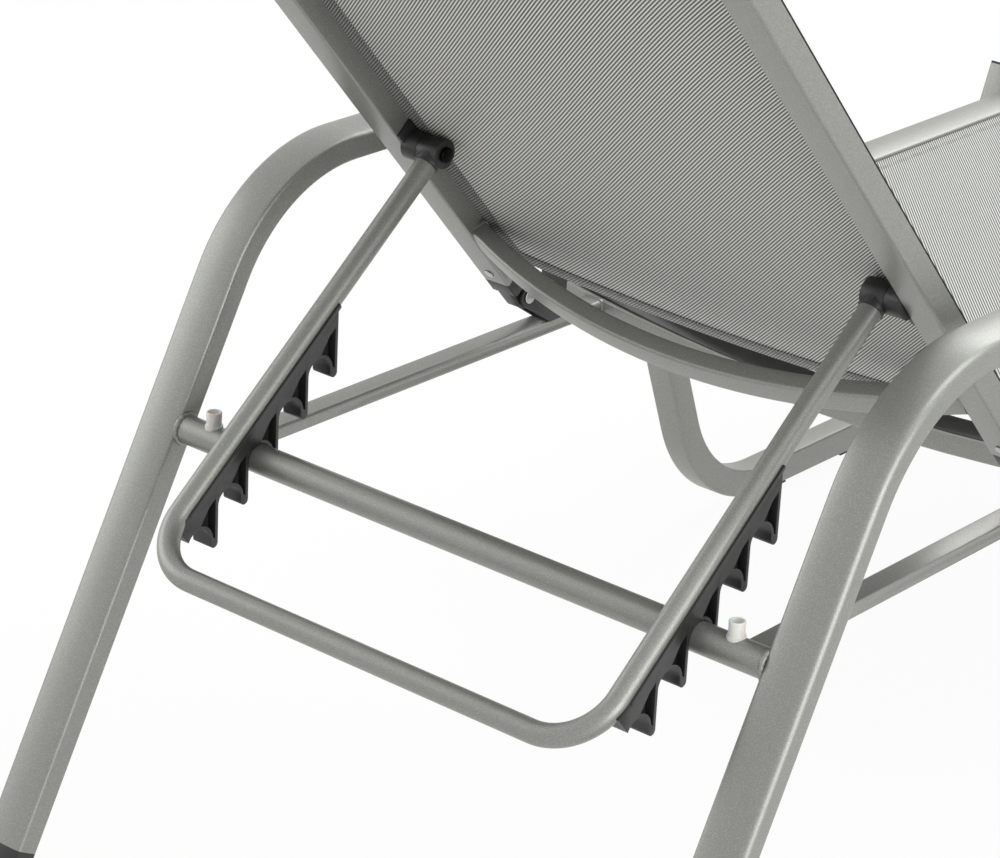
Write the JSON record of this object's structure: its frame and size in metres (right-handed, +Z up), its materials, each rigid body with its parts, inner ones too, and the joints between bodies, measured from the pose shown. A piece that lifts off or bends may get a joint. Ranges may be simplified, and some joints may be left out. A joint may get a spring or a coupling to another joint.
{
  "type": "folding sun lounger",
  "caption": "Sun lounger with armrest loops, sled leg loops, textile slings and a backrest held by a U-shaped ratchet prop.",
  "frame": {"origin": "point on the floor under the middle of the lounger", "axes": "+Z up, +Y towards the head end, +X towards the left of the person lying on it"},
  "size_m": [0.76, 1.7708, 0.9364],
  "materials": {
    "silver_powder_coat": "fine metallic powder coat",
    "black_nylon": "satin moulded",
    "milky_polyethylene": "translucent",
    "zinc_steel": "zinc plated",
    "textilene": "woven"
  },
  "bodies": {
    "base": {"side_frame_left": "silver_powder_coat", "side_frame_right": "silver_powder_coat", "rear_foot_left": "black_nylon", "rear_foot_right": "black_nylon", "cross_bar": "silver_powder_coat", "stretcher_left": "silver_powder_coat", "stretcher_right": "silver_powder_coat", "bumper_left": "milky_polyethylene", "bumper_right": "milky_polyethylene", "seat_rail_left": "silver_powder_coat", "seat_rail_right": "silver_powder_coat", "rail_plug_rear_left": "black_nylon", "rail_plug_rear_right": "black_nylon", "rail_plug_front_left": "black_nylon", "rail_plug_front_right": "black_nylon", "seat_rear_bow": "silver_powder_coat", "seat_middle_bow": "silver_powder_coat", "seat_foot_bow": "silver_powder_coat", "seat_sling": "textilene", "leg_loop_left": "silver_powder_coat", "leg_loop_right": "silver_powder_coat", "loop_plug_rear_left": "black_nylon", "loop_plug_rear_right": "black_nylon", "loop_plug_front_left": "black_nylon", "loop_plug_front_right": "black_nylon", "glide_pad_rear_left": "black_nylon", "glide_pad_rear_right": "black_nylon", "glide_pad_front_left": "black_nylon", "glide_pad_front_right": "black_nylon", "leg_bolts": "zinc_steel", "hinge_bracket_left": "black_nylon", "hinge_bracket_right": "black_nylon", "hinge_pins": "zinc_steel", "bracket_rivets": "zinc_steel"},
    "backrest": {"stile_left": "silver_powder_coat", "stile_right": "silver_powder_coat", "back_brace": "silver_powder_coat", "back_top_bar": "silver_powder_coat", "end_fitting_left": "black_nylon", "end_fitting_right": "black_nylon", "fitting_rivets": "zinc_steel", "stile_plug_left": "black_nylon", "stile_plug_right": "black_nylon", "back_sling": "textilene", "pivot_boss_left": "black_nylon", "pivot_boss_right": "black_nylon", "pivot_bolts": "zinc_steel"},
    "prop": {"prop_tube": "silver_powder_coat", "prop_hub_left": "black_nylon", "prop_hub_right": "black_nylon", "comb_left": "black_nylon", "comb_right": "black_nylon"}
  },
  "joints": [
    {"name": "recline", "type": "hinge", "parent": "base", "child": "backrest", "pos_m": [0, 0.28656, 0.3855], "axis": [1, 0, 0], "range_deg": [0, 25]},
    {"name": "prop_swing", "type": "hinge", "parent": "backrest", "child": "prop", "pos_m": [0, 0.46107, 0.5707], "axis": [1, 0, 0], "range_deg": [-3.75, 0]}
  ],
  "couplings": [
    {"joint": "prop_swing", "follows": "recline", "ratio": -0.15}
  ]
}
